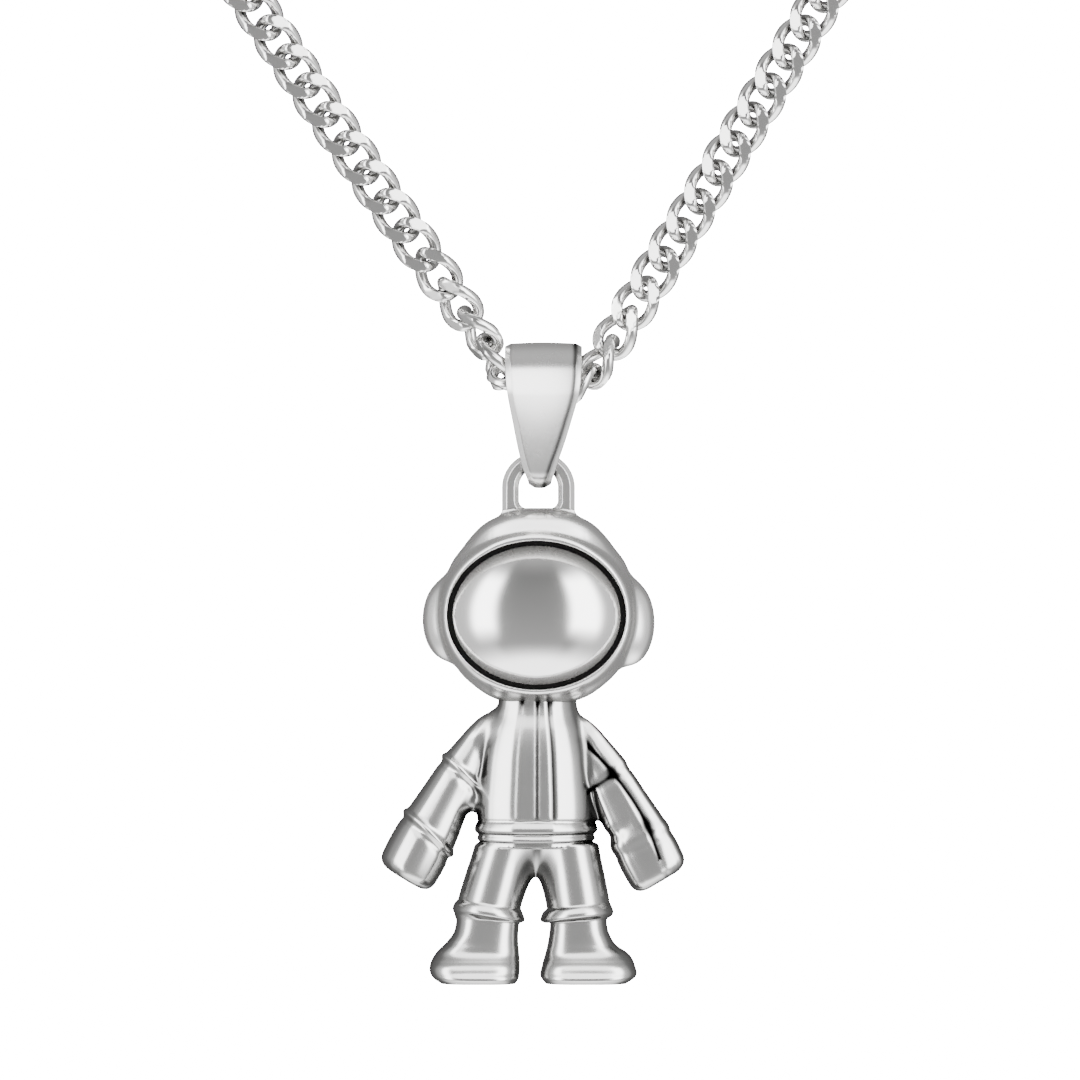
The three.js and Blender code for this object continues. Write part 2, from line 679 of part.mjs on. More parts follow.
function add(name, geometry, material, placement = new THREE.Matrix4()) {
  const mesh = new THREE.Mesh(geometry, material);
  mesh.name = name;
  mesh.applyMatrix4(placement);
  pendant.add(mesh);
}

add('bail', bail(), finishes.chain());
add('suspension_loop', loopGeometry(), finishes.casting());
add('helmet_casting', helmet(), finishes.casting());
add('visor_seat_ring', visorSeatRing(), finishes.enamel());
add('visor_dome', visorDome(), finishes.dome());
add('suit_casting', suit(), finishes.casting());
pendant.add(...chainLinks(interlocks));
add('left_jump_ring', ringGeometry(JUMP_RING), finishes.chain(), leftRing);
add('right_end_ring', ringGeometry(END_RING), finishes.chain(), rightRing);
add('clasp_body', claspBody(), finishes.chain(), clasp);
add('clasp_lever', claspLever(), finishes.chain(), clasp);
add('clasp_lever_pin', pivotPin(CLASP.pinRadius, CLASP.thickness), finishes.chain(), clasp);
add('clasp_spring', claspSpring(), finishes.chain(), clasp);

const group = new THREE.Group();
group.add(pendant);

export default group;
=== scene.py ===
"""Looks of the astronaut pendant: polished steel castings, a diamond-cut curb chain and a light studio.

Shapes are worked out in millimetres, with heights measured up from the soles of the boots, as in the CAD.
The row frame's origin is HELD_HEIGHT above the soles, and the figure faces -Y.
"""
import json
import math
from itertools import product

import bpy
import numpy as np
from mathutils import Matrix, Vector

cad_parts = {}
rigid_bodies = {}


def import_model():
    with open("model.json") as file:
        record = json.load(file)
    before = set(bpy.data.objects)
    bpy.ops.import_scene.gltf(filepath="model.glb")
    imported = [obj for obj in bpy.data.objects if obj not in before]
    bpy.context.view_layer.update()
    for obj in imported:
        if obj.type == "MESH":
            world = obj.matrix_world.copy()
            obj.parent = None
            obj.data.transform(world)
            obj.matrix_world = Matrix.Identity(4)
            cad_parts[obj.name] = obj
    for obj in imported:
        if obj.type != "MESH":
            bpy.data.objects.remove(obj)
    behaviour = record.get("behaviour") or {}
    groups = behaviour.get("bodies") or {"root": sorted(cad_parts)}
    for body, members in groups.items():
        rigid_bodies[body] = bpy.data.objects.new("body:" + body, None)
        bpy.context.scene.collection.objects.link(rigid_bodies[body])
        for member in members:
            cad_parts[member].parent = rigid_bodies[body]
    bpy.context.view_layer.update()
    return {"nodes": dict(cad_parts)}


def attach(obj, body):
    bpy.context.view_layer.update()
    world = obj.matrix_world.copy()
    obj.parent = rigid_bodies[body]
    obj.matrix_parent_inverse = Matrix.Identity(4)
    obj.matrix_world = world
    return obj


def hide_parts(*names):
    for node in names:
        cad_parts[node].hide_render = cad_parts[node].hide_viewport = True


MM = 0.001
HELD_HEIGHT = 64.62

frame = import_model()


# ---------------------------------------------------------------- materials

UNEVEN_POLISH = 0.02
POLISH_GRAIN = 900.0


def metal(name, roughness, brightness=0.9, crevice_shade=0.0, crevice_shade_reach=0.6, edge_shade=0.0, edge=(0.12, 0.62)):
    """Polished steel with a faintly uneven polish, and painted shade in its colour where it is hemmed in,
    where it turns away and where a painted shade attribute says.
    """
    material = bpy.data.materials.new(name)
    material.use_nodes = True
    nodes, links = material.node_tree.nodes, material.node_tree.links
    shader = nodes["Principled BSDF"]
    shader.inputs["Metallic"].default_value = 1.0

    place = nodes.new("ShaderNodeTexCoord")
    noise = nodes.new("ShaderNodeTexNoise")
    noise.inputs["Scale"].default_value = POLISH_GRAIN
    noise.inputs["Detail"].default_value = 3.0
    spread = nodes.new("ShaderNodeMapRange")
    spread.inputs["To Min"].default_value = roughness - UNEVEN_POLISH
    spread.inputs["To Max"].default_value = roughness + UNEVEN_POLISH
    links.new(place.outputs["Object"], noise.inputs["Vector"])
    links.new(noise.outputs["Fac"], spread.inputs["Value"])
    links.new(spread.outputs["Result"], shader.inputs["Roughness"])

    def mapped(value, start, end, low, high):
        node = nodes.new("ShaderNodeMapRange")
        node.interpolation_type = "SMOOTHSTEP"
        links.new(value, node.inputs["Value"])
        for socket, number in zip(("From Min", "From Max", "To Min", "To Max"), (start, end, low, high)):
            node.inputs[socket].default_value = number
        return node.outputs["Result"]

    def product_of(a, b):
        node = nodes.new("ShaderNodeMath")
        node.operation = "MULTIPLY"
        links.new(a, node.inputs[0])
        links.new(b, node.inputs[1])
        return node.outputs[0]

    hemmed = nodes.new("ShaderNodeAmbientOcclusion")
    hemmed.samples = 8
    hemmed.inputs["Distance"].default_value = crevice_shade_reach * MM
    turned = nodes.new("ShaderNodeLayerWeight")
    turned.inputs["Blend"].default_value = 0.5
    painted_shade = nodes.new("ShaderNodeAttribute")
    painted_shade.attribute_name = "painted_shade"
    # Painted shade: the colour darkens with ambient occlusion in crevices, on faces turned away from the
    # view, and by the painted shade attribute.
    shade = product_of(mapped(hemmed.outputs["AO"], 0.25, 0.85, 1 - crevice_shade, 1.0),
                       mapped(turned.outputs["Facing"], *edge, 1.0, 1 - edge_shade))
    shade = product_of(shade, mapped(painted_shade.outputs["Fac"], 0.0, 1.0, 1.0, 0.0))
    colour = nodes.new("ShaderNodeVectorMath")
    colour.operation = "SCALE"
    colour.inputs[0].default_value = (brightness, brightness * 0.995, brightness * 0.985)
    links.new(shade, colour.inputs["Scale"])
    links.new(colour.outputs["Vector"], shader.inputs["Base Color"])
    links.new(colour.outputs["Vector"], shader.inputs["Specular Tint"])
    return material


def make_black_gloss(name):
    """Black, with a soft shine."""
    material = bpy.data.materials.new(name)
    material.use_nodes = True
    shader = material.node_tree.nodes["Principled BSDF"]
    shader.inputs["Base Color"].default_value = (0.004, 0.004, 0.004, 1.0)
    shader.inputs["Roughness"].default_value = 0.35
    return material


# The crevice and edge amounts below paint shade into each steel's colour.
CHAIN_STEEL = metal("chain_steel", 0.13, brightness=0.88, crevice_shade=0.4, crevice_shade_reach=0.5, edge_shade=0.15)
BAIL_STEEL = metal("bail_steel", 0.27)
HELMET_STEEL = metal("helmet_steel", 0.27, crevice_shade=0.6, crevice_shade_reach=0.8, edge_shade=0.1)
SUIT_STEEL = metal("suit_steel", 0.23, brightness=0.8, crevice_shade=0.6, crevice_shade_reach=1.4, edge_shade=0.55,
                   edge=(0.05, 0.38))
VISOR_STEEL = metal("visor_steel", 0.14, brightness=0.93)
BLACK_GLOSS = make_black_gloss("black_gloss")


# ---------------------------------------------------------------- meshes

def new_object(name, points, faces, material, sharp_angle=None, normals=None):
    """A smooth mesh object from points in millimetres above the soles."""
    placed = np.asarray(points, dtype=float) - (0.0, 0.0, HELD_HEIGHT)
    mesh = bpy.data.meshes.new(name)
    mesh.from_pydata((placed * MM).tolist(), [], [list(map(int, face)) for face in faces])
    mesh.materials.append(material)
    mesh.shade_smooth()
    if sharp_angle is not None:
        mesh.set_sharp_from_angle(angle=sharp_angle)
    if normals is not None:
        mesh.normals_split_custom_set_from_vertices(normals.tolist())
    obj = bpy.data.objects.new(name, mesh)
    bpy.context.scene.collection.objects.link(obj)
    return obj


def stand_for(obj, body, slot, *nodes):
    """Makes an object stand for CAD nodes and move with a body."""
    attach(obj, body)
    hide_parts(*nodes)
    return obj


def grid_faces(rows, columns, wrap_rows=False, wrap_columns=True):
    """Quads between neighbouring rows and columns of a grid of points, stored row by row."""
    faces = []
    for row in range(rows if wrap_rows else rows - 1):
        below = (row + 1) % rows
        for column in range(columns if wrap_columns else columns - 1):
            after = (column + 1) % columns
            faces.append((row * columns + column, row * columns + after,
                          below * columns + after, below * columns + column))
    return faces


# ---------------------------------------------------------------- solids as distance fields
#
# A field gives, for points in millimetres, a number that is negative inside the solid.

def smooth_union(a, b, radius):
    share = np.clip(0.5 + 0.5 * (b - a) / radius, 0.0, 1.0)
    return b + (a - b) * share - radius * share * (1 - share)


def smooth_cut(a, b, radius):
    """Solid a without solid b."""
    return -smooth_union(-a, b, radius)


def bevelled(a, b, width, lean=math.radians(45)):
    """What a and b share, with its edge cut off by a facet that leans over from a towards b."""
    facet = a * math.cos(lean) + (b + width) * math.sin(lean)
    return np.maximum(np.maximum(a, b), facet)


def superellipse(x, y, squareness):
    """Distance from a middle, measured so that a superellipse is a circle."""
    return (np.abs(x) ** squareness + np.abs(y) ** squareness) ** (1 / squareness)


def ellipse_reach(x, z, half_width, half_height):
    """Roughly how far outside an ellipse a point lies."""
    ratio = np.sqrt((x / half_width) ** 2 + (z / half_height) ** 2)
    return (ratio - 1) * min(half_width, half_height)


def ridge(offset, height, width):
    """How much a rounded ridge raises a surface, at an offset from its middle."""
    return height * np.exp(-(offset / width) ** 2)


def slope_at(field, points, probe):
    """How fast a field grows along X, Y and Z at each point."""
    slope = np.empty_like(points)
    for axis in range(3):
        step = np.zeros(3)
        step[axis] = probe
        slope[:, axis] = (field(*(points + step).T) - field(*(points - step).T)) / (2 * probe)
    return slope


def smooth_profile(table, at):
    """Reads a table of (position, value) with a smooth curve through its points."""
    position, value = np.array(table, dtype=float).T
    slope = np.gradient(value, position)
    at = np.clip(at, position[0], position[-1])
    cell = np.clip(np.searchsorted(position, at) - 1, 0, len(position) - 2)
    span = position[cell + 1] - position[cell]
    t = (at - position[cell]) / span
    return ((1 + 2 * t) * (1 - t) ** 2 * value[cell] + t * (1 - t) ** 2 * span * slope[cell]
            + t ** 2 * (3 - 2 * t) * value[cell + 1] + t ** 2 * (t - 1) * span * slope[cell + 1])


def section_table(outline):
    """Turns the front outline of a cross-section into (direction, reach) rows for smooth_profile."""
    across, depth = np.array(outline, dtype=float).T
    rows = np.stack([np.arctan2(depth, across), np.hypot(across, depth)], axis=1)
    return rows[np.argsort(rows[:, 0])]


def section_field(across, y, radius, table, back_share=0.8):
    """A body whose level cuts repeat one outline, as deep at the back as its share of the front says."""
    depth = np.where(y < 0, -y, y / back_share)
    return np.hypot(across, depth) - radius * smooth_profile(table, np.arctan2(depth, across))


def surface_points(field, points, limit, passes=3):
    """Moves points onto the surface of a field, along its slope."""
    for _ in range(passes):
        slope = slope_at(field, points, 0.02)
        move = -field(*points.T) / np.maximum((slope ** 2).sum(axis=1), 1e-6)
        shift = slope * move[:, None]
        length = np.linalg.norm(shift, axis=1)
        points = points + shift * np.minimum(1.0, limit / np.maximum(length, 1e-9))[:, None]
    return points


def skin(field, low, high, pitch):
    """A quad mesh over the surface of a field, with one point in each grid cell that it passes through."""
    axes = [np.arange(start, end + pitch, pitch) for start, end in zip(low, high)]
    value = field(*np.meshgrid(*axes, indexing="ij"))
    inside = value < 0
    size = np.array(inside.shape) - 1
    count = sum(inside[i:i + size[0], j:j + size[1], k:k + size[2]].astype(np.int8)
                for i, j, k in product((0, 1), repeat=3))
    mixed = (count > 0) & (count < 8)
    cells = np.argwhere(mixed)
    index = np.full(mixed.shape, -1)
    index[mixed] = np.arange(len(cells))

    total = np.zeros(cells.shape)
    hits = np.zeros(len(cells))
    for axis in range(3):
        for others in product((0, 1), repeat=2):
            start = cells + np.insert(others, axis, 0)
            end = cells + np.insert(others, axis, 1)
            a, b = value[tuple(start.T)], value[tuple(end.T)]
            crosses = (a < 0) != (b < 0)
            crossing = start.astype(float)
            crossing[:, axis] += np.where(crosses, a / np.where(crosses, a - b, 1.0), 0.0)
            total += crossing * crosses[:, None]
            hits += crosses
    points = np.array(low) + pitch * total / hits[:, None]
    points = surface_points(field, points, 0.6 * pitch)

    faces = []
    for axis in range(3):
        u, v = (axis + 1) % 3, (axis + 2) % 3
        lower = inside.take(range(size[axis]), axis)
        upper = inside.take(range(1, size[axis] + 1), axis)
        edges = np.argwhere(lower != upper)
        along_u, along_v = edges[:, u], edges[:, v]
        within = (along_u > 0) & (along_v > 0) & (along_u < size[u]) & (along_v < size[v])
        edges = edges[within]
        back_u, back_v = np.zeros(3, int), np.zeros(3, int)
        back_u[u], back_v[v] = 1, 1
        ring = [edges, edges - back_u, edges - back_u - back_v, edges - back_v]
        quads = np.stack([index[tuple(corner.T)] for corner in ring], axis=1)
        outward = lower[tuple(edges.T)]
        quads[~outward] = quads[~outward][:, ::-1]
        faces.append(quads)
    return points, np.concatenate(faces)


# ---------------------------------------------------------------- chain

LINK_HALF_LENGTH = 1.58
LINK_HALF_WIDTH = 1.1
LINK_TWIST = math.radians(50)
LINK_SQUARENESS = 2.4
WIRE_RADIUS = 0.385
CUT_HALF_THICKNESS = 0.66
# The diamond-cut faces lean outwards a little, to each side of the link.
CUT_LEAN = 0.15
CUT_MIDDLE = 0.8
LINK_STEPS = 56
WIRE_SIDES = 16

LINK_DROP = 1.844
STRAND_STEPS = 13
STRANDS = {"left": (-19.75, 1.21, 1.32), "right": (19.14, -1.105, -1.155)}
# These two lists repeat the CAD's. They come from a numeric search for gaps between the links.
BAIL_ROUTE = [(-2.53, 38.75), (-0.67, 37.58), (1.53, 37.58), (3.22, 38.75)]
ROLLS = [-21, -39, -60, -81, -92, -97, -110, -122, -145, -165]
FIRST_ROLLED = 10
TURNED_OVER = -180


def softened(value, squareness):
    return np.sign(value) * np.abs(value) ** (2 / squareness)


def tube(centres, radius, sides):
    """Rings of points around a closed centre line."""
    ahead = np.roll(centres, -1, axis=0) - np.roll(centres, 1, axis=0)
    tangent = ahead / np.linalg.norm(ahead, axis=1)[:, None]
    up = np.array([0.0, 0.0, 1.0])
    side = np.cross(tangent, up)
    side /= np.linalg.norm(side, axis=1)[:, None]
    normal = np.cross(side, tangent)
    angle = 2 * np.pi * np.arange(sides) / sides
    offset = (np.cos(angle)[None, :, None] * side[:, None, :]
              + np.sin(angle)[None, :, None] * normal[:, None, :])
    return (centres[:, None, :] + radius * offset).reshape(-1, 3)


def curb_link_mesh():
    """A twisted oval of wire, cut flat on both faces."""
    turn = 2 * np.pi * np.arange(LINK_STEPS) / LINK_STEPS
    along = softened(np.cos(turn), LINK_SQUARENESS)
    across = LINK_HALF_WIDTH * softened(np.sin(turn), LINK_SQUARENESS)
    twist = LINK_TWIST * along
    centres = np.stack([LINK_HALF_LENGTH * along, across * np.cos(twist), -across * np.sin(twist)], axis=1)
    points = tube(centres, WIRE_RADIUS, WIRE_SIDES)
    cut = CUT_HALF_THICKNESS - CUT_LEAN * (np.abs(points[:, 1]) - CUT_MIDDLE)
    points[:, 2] = np.clip(points[:, 2], -cut, cut)
    mesh = bpy.data.meshes.new("curb_link")
    mesh.from_pydata((points * MM).tolist(), [], grid_faces(LINK_STEPS, WIRE_SIDES, wrap_rows=True))
    mesh.materials.append(CHAIN_STEEL)
    mesh.shade_smooth()
    mesh.set_sharp_from_angle(angle=math.radians(32))
    return mesh


def strand_interlocks(top_x, first_step, last_step):
    """Where a strand's links meet, from the top down. The sideways step changes evenly."""
    x, z = top_x, HELD_HEIGHT
    points = [(x, z)]
    for step in range(STRAND_STEPS):
        x += first_step + (last_step - first_step) * step / (STRAND_STEPS - 1)
        z -= LINK_DROP
        points.append((x, z))
    return points


def link_matrix(start, end, roll):
    """Places a link between two interlocks, rolled about the line between them."""
    along = (end - start).normalized()
    facing = Matrix.Rotation(-roll, 3, along) @ Vector((0, -1, 0))
    across = facing.cross(along)
    turn = Matrix((along, across, facing)).transposed().to_4x4()
    return Matrix.Translation((start + end) / 2) @ turn


def add_chain():
    left = strand_interlocks(*STRANDS["left"])
    right = strand_interlocks(*STRANDS["right"])
    route = [Vector((x, 0, z - HELD_HEIGHT)) * MM for x, z in left + BAIL_ROUTE + right[::-1]]
    mesh = curb_link_mesh()
    count = len(route) - 1
    per_strand = STRAND_STEPS + 1
    for index in range(count):
        if index < per_strand:
            node = f"left_link_{index + 1:02d}"
            body = node
        elif index >= count - per_strand:
            node = f"right_link_{count - index:02d}"
            body = node
        else:
            node = f"bail_link_{index - per_strand + 1}"
            body = "bail_links"
        roll = 0.0
        if index >= FIRST_ROLLED:
            rolled = index - FIRST_ROLLED
            roll = math.radians(ROLLS[rolled] if rolled < len(ROLLS) else TURNED_OVER)
        link = bpy.data.objects.new(f"{node}_cut", mesh)
        link.matrix_world = link_matrix(route[index], route[index + 1], roll)
        bpy.context.scene.collection.objects.link(link)
        stand_for(link, body, "polished_chain", node)


# ---------------------------------------------------------------- bail

def tapered_capsule(across, up, bottom_radius, top_radius, height):
    """Distance to two circles, one height above the other, and the flanks between them."""
    across = np.abs(across)
    lean = (bottom_radius - top_radius) / height
    upright = math.sqrt(1 - lean ** 2)
    along = -lean * across + upright * up
    flank = across * upright + up * lean - bottom_radius
    low_end = np.hypot(across, up) - bottom_radius
    high_end = np.hypot(across, up - height) - top_radius
    return np.where(along < 0, low_end, np.where(along > upright * height, high_end, flank))


BAIL_BEVEL = 0.34
BAIL_BEVEL_LEAN = math.radians(25)
# The mouth widens towards each side, so that the links clear it when they swing.
BAIL_MOUTH_FLARE = 0.16
BAIL_MOUTH_DEPTH = 0.7
# The middle of the lower round, then the lower radius, the upper one and the height between the two.
BAIL_OUTER_Z, BAIL_OUTER = 33.06, (1.5, 2.75, 5.06)
BAIL_INNER_Z, BAIL_INNER = 33.2, (0.92, 2.1, 4.92)
BAIL_CROWN = 0.1
# The bail's half width and the middle of its width, from the tip upwards.
BAIL_WIDTHS = [(31.0, 0.55, -0.02), (31.96, 0.75, -0.01), (32.86, 1.06, -0.04), (34.2, 1.47, 0.03),
               (35.73, 1.86, 0.12), (37.73, 2.31, 0.2), (39.2, 2.43, 0.21), (40.39, 2.46, 0.22),
               (41.5, 2.42, 0.22)]


def bail_field(x, y, z):
    half_width = smooth_profile([row[:2] for row in BAIL_WIDTHS], z)
    middle = smooth_profile([(row[0], row[2]) for row in BAIL_WIDTHS], z)
    crown = BAIL_CROWN * ((x - middle) / half_width) ** 2
    outer = tapered_capsule(y, z - BAIL_OUTER_Z, *BAIL_OUTER) + crown
    sides = np.abs(x - middle) - half_width
    flare = BAIL_MOUTH_FLARE * np.clip(1 + sides / BAIL_MOUTH_DEPTH, 0, 1)
    inner = tapered_capsule(y, z - BAIL_INNER_Z, *BAIL_INNER) - flare
    return np.maximum(bevelled(outer, sides, BAIL_BEVEL, BAIL_BEVEL_LEAN), -inner)


def bail_painted_shade(x, y, z):
    """Painted shade: a dark line inside each bevel, strongest down the bail's right flank."""
    half_width = smooth_profile([row[:2] for row in BAIL_WIDTHS], z)
    middle = smooth_profile([(row[0], row[2]) for row in BAIL_WIDTHS], z)
    from_right, from_left = half_width - (x - middle), half_width + (x - middle)
    dark = 0.75 * np.exp(-((from_right - 0.42) / 0.2) ** 2) + 0.3 * np.exp(-((from_left - 0.38) / 0.1) ** 2)
    return dark * (y < 0)


# ---------------------------------------------------------------- suspension loop

LOOP_X = -0.1
# Where the loop's straight legs end and its arch starts.
LOOP_SPRING_Z = 31.6
LOOP_OUTSIDE = (2.33, 2.28)
LOOP_OPENING = (1.24, 1.26)
LOOP_FLOOR_Z = 30.29
LOOP_CORNER = 0.5
LOOP_FOOT_Z = 29.3
LOOP_HALF_DEPTH = 0.55
LOOP_BEVEL = 0.3


def loop_field(x, y, z):
    across, above = x - LOOP_X, z - LOOP_SPRING_Z
    arch = above > 0
    outer = np.where(arch, ellipse_reach(across, above, *LOOP_OUTSIDE), np.abs(across) - LOOP_OUTSIDE[0])
    low = np.maximum(LOOP_FLOOR_Z - z, 0.0)
    past_side = np.maximum(np.abs(across) - (LOOP_OPENING[0] - LOOP_CORNER), 0)
    past_floor = np.maximum(LOOP_FLOOR_Z + LOOP_CORNER - z, 0)
    corner = np.hypot(past_side, past_floor) - LOOP_CORNER
    hole = np.where(arch, ellipse_reach(across, above, *LOOP_OPENING), np.maximum(corner, low - 0.01))
    ring = bevelled(np.maximum(outer, LOOP_FOOT_Z - z), -hole, 0.0)
    return bevelled(ring, np.abs(y) - LOOP_HALF_DEPTH, LOOP_BEVEL)


# ---------------------------------------------------------------- helmet and visor

HELMET_X, HELMET_Z = -0.1, 24.0
HELMET_DEPTH = 3.5
HELMET_SQUARENESS = 3.0
# The helmet's outline: half widths at heights above the soles, from the crown to the chin.
HELMET_WIDTHS = [(30.2, 0.0), (30.1, 1.5), (29.75, 2.65), (29.28, 3.5), (28.58, 4.23), (27.76, 4.87),
                 (26.9, 5.5), (25.7, 5.97), (24.0, 6.15), (22.0, 6.0), (20.4, 5.42), (19.65, 4.87),
                 (18.9, 4.05), (18.3, 3.15), (17.95, 2.2), (17.8, 1.1), (17.75, 0.0)]
EAR_PODS = [(-5.9, 23.2, 1.6, 2.6), (5.72, 23.0, 1.6, 2.72)]
POD_HALF_DEPTH = 1.5
VISOR_X, VISOR_Z = -0.22, 23.48
VISOR_FLOOR_Y = -0.9
POCKET = (5.68, 4.72)
BROW_GROOVE = 0.62
RIM = (5.86, 4.9)
RIM_RADIUS = 0.3
DOME = (5.38, 4.46)
DOME_EDGE_ANGLE = math.radians(42)
DOME_BASE_Y, DOME_EDGE_Y = -0.95, -2.3
SEAT_RING_Y = (-0.92, -1.6)


def helmet_outline():
    """The outline as (direction, reach) rows from the helmet's middle, the same on both sides."""
    height, half_width = np.array(HELMET_WIDTHS, dtype=float).T
    above = height - HELMET_Z
    return np.stack([np.arctan2(above, half_width), np.hypot(half_width, above)], axis=1)[::-1]


def helmet_shell(x, y, z):
    across, above = np.abs(x - HELMET_X), z - HELMET_Z
    reach = smooth_profile(HELMET_OUTLINE, np.arctan2(above, across))
    size = superellipse(np.hypot(across, above) / reach, y / HELMET_DEPTH, HELMET_SQUARENESS)
    return (size - 1) * HELMET_DEPTH


HELMET_OUTLINE = helmet_outline()


def helmet_field(x, y, z):
    solid = helmet_shell(x, y, z)
    shell = solid
    for pod_x, pod_z, reach, half_height in EAR_PODS:
        across, above = (x - pod_x) / reach, (z - pod_z) / half_height
        ratio = np.sqrt(across ** 2 + (y / POD_HALF_DEPTH) ** 2 + above ** 2)
        solid = smooth_union(solid, (ratio - 1) * reach, 0.45)
    foot = np.maximum(np.maximum(np.abs(x - LOOP_X) - 2.2, np.abs(y) - 0.5), np.maximum(z - 30.1, 28 - z))
    solid = smooth_union(solid, foot, 0.5)
    out = ellipse_reach(x - VISOR_X, z - VISOR_Z, *RIM)
    brow = np.clip((z - VISOR_Z - 2) / 2, 0, 1) * np.clip((5 - np.abs(x - HELMET_X)) / 2, 0, 1)
    groove = ridge(out - BROW_GROOVE, 0.06, 0.45) * brow * (y < 0)
    solid = solid + groove
    rim = np.hypot(out, shell) - RIM_RADIUS
    rim = np.where(y > 0, np.maximum(rim, 0.5), rim)
    solid = smooth_union(solid, rim, 0.3)
    pocket = np.maximum(ellipse_reach(x - VISOR_X, z - VISOR_Z, *POCKET), y - VISOR_FLOOR_Y)
    return smooth_cut(solid, pocket, 0.08)


def add_dome(rings=48, sides=160):
    """A shallow cap of a sphere, squashed to the opening's ellipse, on a short upright wall."""
    sphere = DOME[0] / math.sin(DOME_EDGE_ANGLE)
    turns = 2 * np.pi * np.arange(sides) / sides
    outline = [(1.0, DOME_BASE_Y), (1.0, DOME_EDGE_Y + 0.1)]
    for ring in range(rings + 1):
        angle = DOME_EDGE_ANGLE * (1 - 0.999 * ring / rings)
        rise = sphere * (math.cos(angle) - math.cos(DOME_EDGE_ANGLE))
        outline.append((math.sin(angle) / math.sin(DOME_EDGE_ANGLE), DOME_EDGE_Y - rise))
    points = [(VISOR_X + DOME[0] * reach * math.cos(turn), y, VISOR_Z + DOME[1] * reach * math.sin(turn))
              for reach, y in outline for turn in turns]
    faces = [face[::-1] for face in grid_faces(len(outline), sides)]
    faces.append(list(range(sides))[::-1])
    faces.append([(len(outline) - 1) * sides + corner for corner in range(sides)])
    dome = new_object("visor_polished_dome", points, faces, VISOR_STEEL, math.radians(60))
    stand_for(dome, "figure", "visor", "visor_dome")


# A black ring set in the dark gap between the dome and the pocket wall.
def add_seat_ring(sides=160):
    points = []
    back, front = SEAT_RING_Y
    outer, inner = POCKET[0] - 0.03, DOME[0] - 0.02
    for reach, y in ((outer, back), (outer, front), (inner, front), (inner, back)):
        height = reach - (POCKET[0] - POCKET[1])
        for side in range(sides):
            angle = 2 * np.pi * side / sides
            points.append((VISOR_X + reach * math.cos(angle), y, VISOR_Z + height * math.sin(angle)))
    ring = new_object("visor_black_seat", points, grid_faces(4, sides, wrap_rows=True), BLACK_GLOSS,
                      math.radians(50))
    stand_for(ring, "figure", "black_recess", "visor_seat_ring")


# ---------------------------------------------------------------- suit

TORSO_X = -0.15
TORSO_WIDTHS = [(5.0, 2.0), (6.5, 3.0), (7.8, 3.55), (9.1, 3.72), (10.3, 3.85), (11.5, 3.85), (13.0, 3.7),
                (14.8, 3.45), (16.2, 3.05), (17.2, 2.65), (17.9, 2.5), (18.6, 2.6)]
# The torso's front outline in shares of its half width: a flat panel between two facets.
TORSO_SECTION = section_table([
    (-1, 0), (-0.96, 0.24), (-0.9, 0.37), (-0.83, 0.445), (-0.75, 0.495), (-0.6, 0.57), (-0.45, 0.634),
    (-0.37, 0.662), (-0.2, 0.668), (0, 0.67), (0.2, 0.668), (0.27, 0.66), (0.35, 0.632), (0.5, 0.567),
    (0.62, 0.505), (0.72, 0.43), (0.82, 0.33), (0.91, 0.2), (0.97, 0.1), (1, 0)])
# Where the seams of the front panel lie in shares of the half width, and how deep they are.
TORSO_SEAMS = [(-0.38, 0.03), (-0.01, 0.05), (0.26, 0.06)]
# How dark the painted shade is along each seam, at shares of the half width.
SEAM_SHADE = [(-0.36, 0.3), (-0.01, 0.7), (0.26, 0.85)]
CHIN_NOTCHES = [-1.15, -0.1, 0.75]
BELT_X = -0.25
BELT_REACH = 3.48
# Each belt roll's height, how far it stands out and half its height.
THICK_ROLL = (9.93, 0.42, 0.44)
THIN_ROLL = (9.29, 0.27, 0.24)
ROLL_TILT = math.radians(22)
ROLL_SQUARENESS = 2.8

ARMS = {
    "left": dict(shoulder=(-3.84, 15.9), toward=(-0.467, -0.884), outside=-1),
    "right": dict(shoulder=(3.0, 15.83), toward=(0.457, -0.889), outside=1),
}
# Each arm's front outline in shares of its half width, from its inner to its outer side.
ARM_SECTIONS = {
    "left": section_table([
        (-1, 0), (-0.97, 0.22), (-0.9, 0.38), (-0.75, 0.6), (-0.6, 0.76), (-0.45, 0.84), (-0.15, 0.93),
        (0, 0.945), (0.2, 0.92), (0.3, 0.88), (0.42, 0.825), (0.58, 0.735), (0.72, 0.6), (0.86, 0.42),
        (0.96, 0.22), (1, 0)]),
    "right": section_table([
        (-1, 0), (-0.97, 0.3), (-0.88, 0.6), (-0.75, 0.78), (-0.5, 0.87), (0, 0.93), (0.25, 0.94),
        (0.32, 0.92), (0.45, 0.875), (0.6, 0.817), (0.75, 0.747), (0.88, 0.66), (0.97, 0.38), (1, 0)]),
}
ARM_WIDTHS = [(-1.5, 0.15), (-0.88, 0.48), (-0.1, 0.8), (0.85, 1.04), (2.05, 1.32), (3.4, 1.49),
              (5.2, 1.7), (6.6, 1.88), (8.5, 2.0), (9.4, 1.98), (10.6, 1.86)]
# How far the crease on the right arm lies outwards of its middle, at distances along it.
CREASE = [(-0.5, -0.45), (0.0, -0.36), (2.9, 0.37), (6.75, 0.78), (9.5, 0.45)]
# How softly the left arm runs into the torso, at heights above the soles.
SHOULDER_BLEND = [(9, 0.3), (10.4, 0.4), (11.2, 1.2), (12.2, 1.2), (13.5, 0.6), (15, 0.6), (16, 1.1),
                  (18, 1.1)]
ARM_END = 10.45
ARM_START = -1.45

LEGS = {
    "left": dict(hip=(-2.1, 9.25), toward=(-0.264, -0.965)),
    "right": dict(hip=(1.78, 9.25), toward=(0.155, -0.988)),
}
CROTCH_X = -0.45
